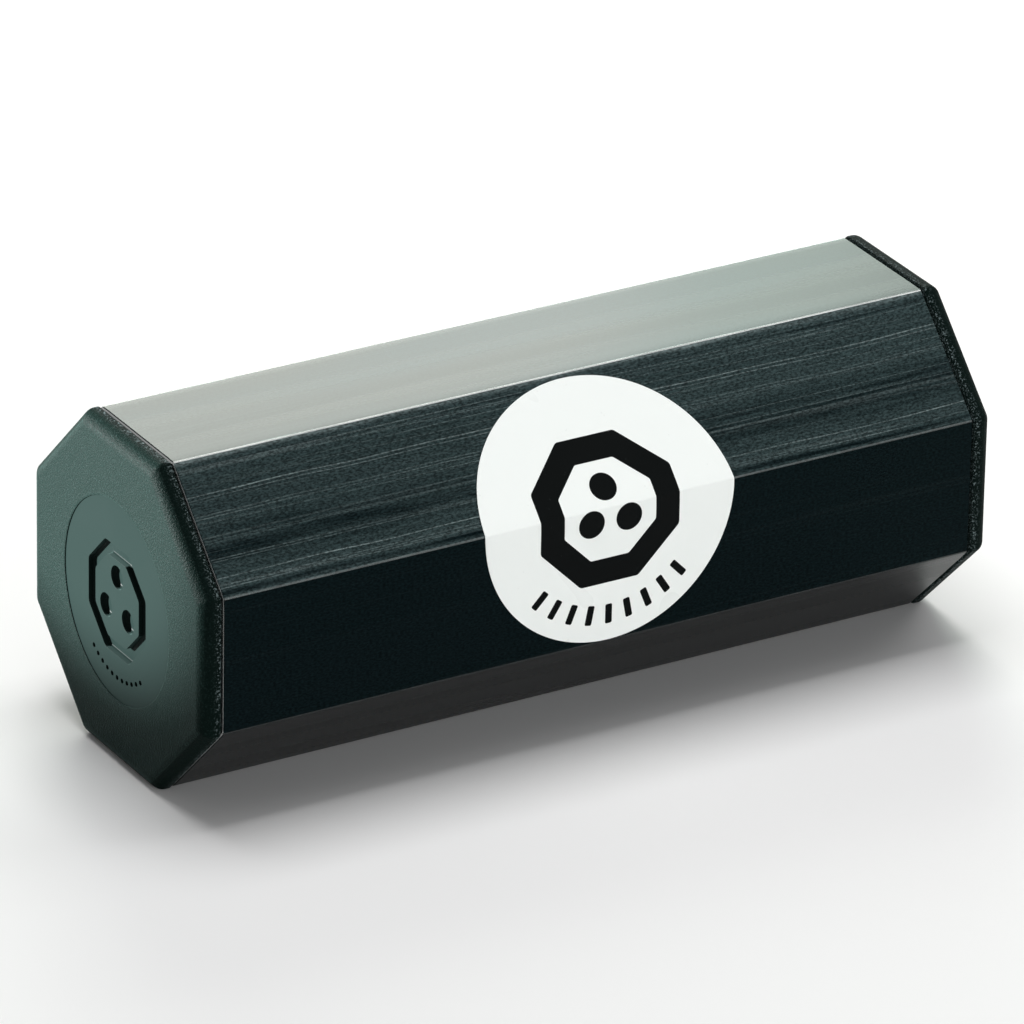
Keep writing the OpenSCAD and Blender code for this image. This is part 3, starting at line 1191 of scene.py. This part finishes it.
# The camera's direction and distance from the tube's middle, found from the photograph's corners
CAMERA_AZIMUTH = math.radians(-30.743)
CAMERA_ELEVATION = math.radians(25.652)
CAMERA_ROLL = math.radians(1.058)
CAMERA_DISTANCE = 1.69035
CAMERA_LENS = 349.51
CAMERA_SENSOR = 36
CAMERA_CLIP = 0.05
CAMERA_OFFSET = (0.418 * MM, 0.848 * MM)
FLOOR_SIZE = 8
WORLD_LIGHT = 0.20

# Name, direction from the tube's middle, distance, width, height, power and tint of each softbox
SOFTBOXES = (
    ("back_softbox", (0.36, 0.78, 0.44), 1.0, 0.45, 0.55, 5.1, (0.86, 1.0, 0.90)),
    ("back_strip", (0.30, 0.80, 0.46), 0.45, 0.20, 0.30, 0.28, (1.0, 0.62, 0.66)),
    ("front_softbox", (0.0, -0.98, 0.16), 1.2, 0.8, 0.3, 5.4, (1.0, 1.0, 1.0)),
    ("right_softbox", (0.8, -0.05, 0.8), 1.2, 0.6, 0.6, 2.0, (1.0, 1.0, 1.0)),
    ("top_softbox", (0.0, 0.15, 1.0), 1.2, 0.7, 0.7, 9.2, (1.0, 1.0, 1.0)),
)

# The lamp on the left cap: its aim, direction, distance, the radius that it lights, how soft its
# edge and its shadows are, and its power
SNOOT_AIM = Vector((CAP_LOW.x, 17 * MM, AXIS.z + 20 * MM))
SNOOT_DIRECTION = Vector((-0.75, 0.65, 0.10))
SNOOT_DISTANCE = 1.0
SNOOT_REACH = 42 * MM
SNOOT_BLEND = 0.7
SNOOT_SOFTNESS = 4 * MM
SNOOT_POWER = 490


def aim_camera(camera):
    back = Vector((
        math.sin(CAMERA_AZIMUTH) * math.cos(CAMERA_ELEVATION),
        -math.cos(CAMERA_AZIMUTH) * math.cos(CAMERA_ELEVATION),
        math.sin(CAMERA_ELEVATION),
    ))
    level = Vector((math.cos(CAMERA_AZIMUTH), math.sin(CAMERA_AZIMUTH), 0))
    upward = back.cross(level)
    right = math.cos(CAMERA_ROLL) * level + math.sin(CAMERA_ROLL) * upward
    up = -math.sin(CAMERA_ROLL) * level + math.cos(CAMERA_ROLL) * upward
    place = AXIS + CAMERA_DISTANCE * back - CAMERA_OFFSET[0] * right - CAMERA_OFFSET[1] * up
    matrix = Matrix((right, up, back)).transposed().to_4x4()
    matrix.translation = place
    camera.matrix_world = matrix


def add_softbox(name, direction, distance, width, height, power, tint):
    """Area lamp that faces the shaker from a direction"""
    place = AXIS + distance * Vector(direction).normalized()
    bpy.ops.object.light_add(type="AREA", location=place)
    lamp = bpy.context.object
    lamp.name = name
    lamp.rotation_euler = (place - AXIS).to_track_quat("Z", "Y").to_euler()
    lamp.data.shape = "RECTANGLE"
    lamp.data.size = width
    lamp.data.size_y = height
    lamp.data.energy = power
    lamp.data.color = tint
    lamp.visible_camera = False


def add_cap_snoot():
    """Narrow soft-edged lamp, low behind the left cap, that leaves the cap's lower edge dark"""
    place = SNOOT_AIM + SNOOT_DISTANCE * SNOOT_DIRECTION.normalized()
    bpy.ops.object.light_add(type="SPOT", location=place)
    lamp = bpy.context.object
    lamp.name = "cap_snoot"
    lamp.rotation_euler = (place - SNOOT_AIM).to_track_quat("Z", "Y").to_euler()
    lamp.data.spot_size = 2 * math.atan(SNOOT_REACH / SNOOT_DISTANCE)
    lamp.data.spot_blend = SNOOT_BLEND
    lamp.data.shadow_soft_size = SNOOT_SOFTNESS
    lamp.data.energy = SNOOT_POWER
    lamp.visible_camera = False


def build_world(scene):
    """White to the camera and in reflections, and a soft grey as light"""
    world = bpy.data.worlds.new("studio")
    scene.world = world
    world.use_nodes = True
    tree = world.node_tree
    background = tree.nodes["Background"]
    path = add_node(tree, "ShaderNodeLightPath").outputs
    seen = math_node(
        tree, "MAXIMUM", path["Is Camera Ray"],
        math_node(tree, "MAXIMUM", path["Is Glossy Ray"], path["Is Transmission Ray"]),
    )
    strength = math_node(tree, "MULTIPLY_ADD", seen, 1 - WORLD_LIGHT)
    strength.node.inputs[2].default_value = WORLD_LIGHT
    background.inputs["Color"].default_value = (1, 1, 1, 1)
    tree.links.new(strength, background.inputs["Strength"])


def floor_material(colours):
    material = bpy.data.materials.new("pale_floor")
    material.use_nodes = True
    tree = material.node_tree
    shader = tree.nodes["Principled BSDF"]
    place = add_node(tree, "ShaderNodeTexCoord").outputs["Object"]
    cloud = noise(tree, place, (3.0, 3.0, 3.0))
    cloud = remap(tree, cloud, 0.3, 0.7, 0.0, 0.04)
    base = mix_colour(tree, cloud, colours.floor, FLOOR_CLOUD)
    tree.links.new(base, shader.inputs["Base Color"])
    set_sockets(shader, Roughness=0.9, Specular_IOR_Level=0.1)
    return material


class SHAKER_OT_stage(bpy.types.Operator):
    """Add the floor, the softboxes, the world and the camera"""

    bl_idname = "shaker.stage"
    bl_label = "Stage"

    def execute(self, context):
        scene = context.scene
        deselect_all()
        bpy.ops.mesh.primitive_plane_add(size=FLOOR_SIZE, location=(0, 0, 0))
        floor = context.object
        floor.name = "floor"
        floor.data.materials.append(floor_material(scene.shaker_colours))
        build_world(scene)
        for softbox in SOFTBOXES:
            add_softbox(*softbox)
        add_cap_snoot()
        bpy.ops.object.camera_add()
        camera = context.object
        camera.name = "camera"
        camera.data.sensor_width = CAMERA_SENSOR
        camera.data.lens = CAMERA_LENS
        camera.data.clip_start = CAMERA_CLIP
        aim_camera(camera)
        scene.camera = camera
        scene.view_settings.view_transform = "Standard"
        return {"FINISHED"}


class SHAKER_PT_pieces(bpy.types.Panel):
    """Buttons for the shaker's pieces and its stage"""

    bl_idname = "SHAKER_PT_pieces"
    bl_label = "Ganza Shaker"
    bl_space_type = "VIEW_3D"
    bl_region_type = "UI"
    bl_category = "Shaker"

    def draw(self, context):
        layout = self.layout
        for operator in OPERATORS:
            layout.operator(operator.bl_idname)
        for group in (context.scene.shaker_sizes, context.scene.shaker_colours):
            for name in group.bl_rna.properties.keys():
                if name not in ("rna_type", "name"):
                    layout.prop(group, name)


OPERATORS = (
    SHAKER_OT_body_tube,
    SHAKER_OT_end_caps,
    SHAKER_OT_label,
    SHAKER_OT_shot,
    SHAKER_OT_stage,
)
CLASSES = (ShakerSizes, ShakerColours, *OPERATORS, SHAKER_PT_pieces)


def register():
    for cls in CLASSES:
        bpy.utils.register_class(cls)
    bpy.types.Scene.shaker_sizes = bpy.props.PointerProperty(type=ShakerSizes)
    bpy.types.Scene.shaker_colours = bpy.props.PointerProperty(type=ShakerColours)


def unregister():
    del bpy.types.Scene.shaker_colours
    del bpy.types.Scene.shaker_sizes
    for cls in reversed(CLASSES):
        bpy.utils.unregister_class(cls)


def main():
    register()
    bpy.ops.shaker.body_tube()
    bpy.ops.shaker.end_caps()
    bpy.ops.shaker.label()
    bpy.ops.shaker.shot()
    bpy.ops.shaker.stage()


if __name__ == "__main__":
    main()
